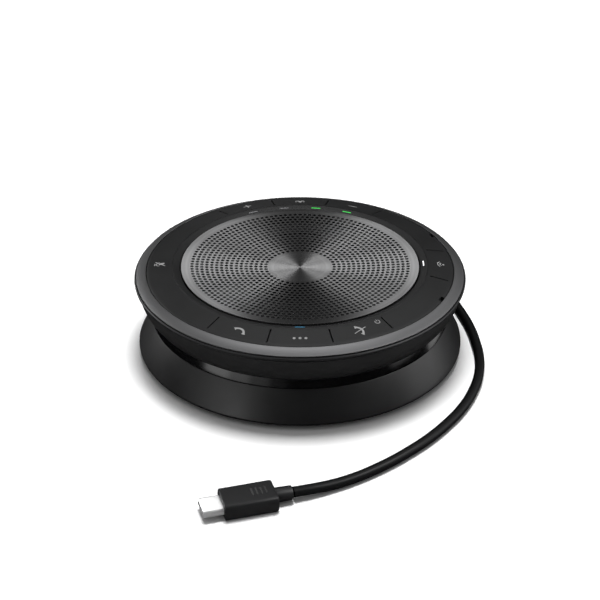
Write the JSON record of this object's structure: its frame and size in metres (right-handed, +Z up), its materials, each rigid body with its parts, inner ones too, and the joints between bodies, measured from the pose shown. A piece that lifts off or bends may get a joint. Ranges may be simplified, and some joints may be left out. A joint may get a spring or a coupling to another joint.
{
  "type": "conference speakerphone",
  "caption": "Round table speakerphone with a dished metal grille, touch keys around it, a waist for winding its captive USB lead, and a plug on the lead.",
  "frame": {"origin": "on the table under the middle of the unit", "axes": "+Z up, front towards -Y, charging-state light towards +X"},
  "size_m": [0.127, 0.2157, 0.033],
  "materials": {
    "soft_black": "soft-touch satin black",
    "matte_black": "fine-textured black moulding",
    "gloss_black": "polished black",
    "brushed_steel": "circular brushed dark steel",
    "grille_metal": "circular brushed perforated steel",
    "rubber_black": "matt rubber",
    "cord_black": "smooth cable jacket",
    "plug_metal": "polished plated steel",
    "clear_diffuser": "milky light pipe",
    "board_green": "solder mask",
    "switch_metal": "plain stamped metal",
    "screw_steel": "zinc plated",
    "cone_paper": "pressed paper",
    "magnet_steel": "plated steel",
    "battery_wrap": "shrink wrap"
  },
  "bodies": {
    "base": {"base_plate": "matte_black", "base_screw_1": "screw_steel", "base_screw_2": "screw_steel", "base_screw_3": "screw_steel", "base_screw_4": "screw_steel", "battery": "battery_wrap", "bezel_ring": "soft_black", "button_board": "board_green", "cord_clip": "rubber_black", "cord_coil": "cord_black", "cord_gland": "rubber_black", "cord_lead": "cord_black", "cord_run": "cord_black", "foot_pad_1": "rubber_black", "foot_pad_2": "rubber_black", "foot_pad_3": "rubber_black", "foot_pad_4": "rubber_black", "grille": "grille_metal", "light_call_left": "clear_diffuser", "light_call_right": "clear_diffuser", "light_link": "clear_diffuser", "light_power": "clear_diffuser", "light_volume_left": "clear_diffuser", "light_volume_right": "clear_diffuser", "lip_ring": "matte_black", "main_board": "board_green", "microphone_back": "switch_metal", "microphone_front": "switch_metal", "neck_band": "gloss_black", "panel_mic_back": "soft_black", "panel_mic_front": "soft_black", "plug_body": "matte_black", "plug_insert": "matte_black", "plug_relief": "matte_black", "plug_shell": "plug_metal", "skirt": "matte_black", "speaker_basket": "magnet_steel", "speaker_magnet": "magnet_steel", "speaker_surround": "rubber_black", "switch_answer": "switch_metal", "switch_end_call": "switch_metal", "switch_link": "switch_metal", "switch_menu": "switch_metal", "switch_mute": "switch_metal", "switch_volume_down": "switch_metal", "switch_volume_up": "switch_metal", "switch_wireless": "switch_metal", "trim_ring": "brushed_steel", "upper_housing": "matte_black"},
    "key_answer_body": {"key_answer": "soft_black"},
    "key_end_call_body": {"key_end_call": "soft_black"},
    "key_link_body": {"key_link": "soft_black"},
    "key_menu_body": {"key_menu": "soft_black"},
    "key_mute_body": {"key_mute": "soft_black"},
    "key_volume_down_body": {"key_volume_down": "soft_black"},
    "key_volume_up_body": {"key_volume_up": "soft_black"},
    "key_wireless_body": {"key_wireless": "soft_black"},
    "cone": {"speaker_cone": "cone_paper", "dust_cap": "cone_paper", "voice_coil": "switch_metal"}
  },
  "joints": [
    {"name": "key_answer_press", "type": "slide", "parent": "base", "child": "key_answer_body", "axis": [0, 0, -1], "range_m": [0, 0.0004], "stiffness_N_per_m": 400, "springref_m": -0.0003},
    {"name": "key_end_call_press", "type": "slide", "parent": "base", "child": "key_end_call_body", "axis": [0, 0, -1], "range_m": [0, 0.0004], "stiffness_N_per_m": 400, "springref_m": -0.0003},
    {"name": "key_link_press", "type": "slide", "parent": "base", "child": "key_link_body", "axis": [0, 0, -1], "range_m": [0, 0.0004], "stiffness_N_per_m": 400, "springref_m": -0.0003},
    {"name": "key_menu_press", "type": "slide", "parent": "base", "child": "key_menu_body", "axis": [0, 0, -1], "range_m": [0, 0.0004], "stiffness_N_per_m": 400, "springref_m": -0.0003},
    {"name": "key_mute_press", "type": "slide", "parent": "base", "child": "key_mute_body", "axis": [0, 0, -1], "range_m": [0, 0.0004], "stiffness_N_per_m": 400, "springref_m": -0.0003},
    {"name": "key_volume_down_press", "type": "slide", "parent": "base", "child": "key_volume_down_body", "axis": [0, 0, -1], "range_m": [0, 0.0004], "stiffness_N_per_m": 400, "springref_m": -0.0003},
    {"name": "key_volume_up_press", "type": "slide", "parent": "base", "child": "key_volume_up_body", "axis": [0, 0, -1], "range_m": [0, 0.0004], "stiffness_N_per_m": 400, "springref_m": -0.0003},
    {"name": "key_wireless_press", "type": "slide", "parent": "base", "child": "key_wireless_body", "axis": [0, 0, -1], "range_m": [0, 0.0004], "stiffness_N_per_m": 400, "springref_m": -0.0003},
    {"name": "cone_travel", "type": "slide", "parent": "base", "child": "cone", "axis": [0, 0, 1], "range_m": [-0.0006, 0.0006], "stiffness_N_per_m": 900}
  ]
}
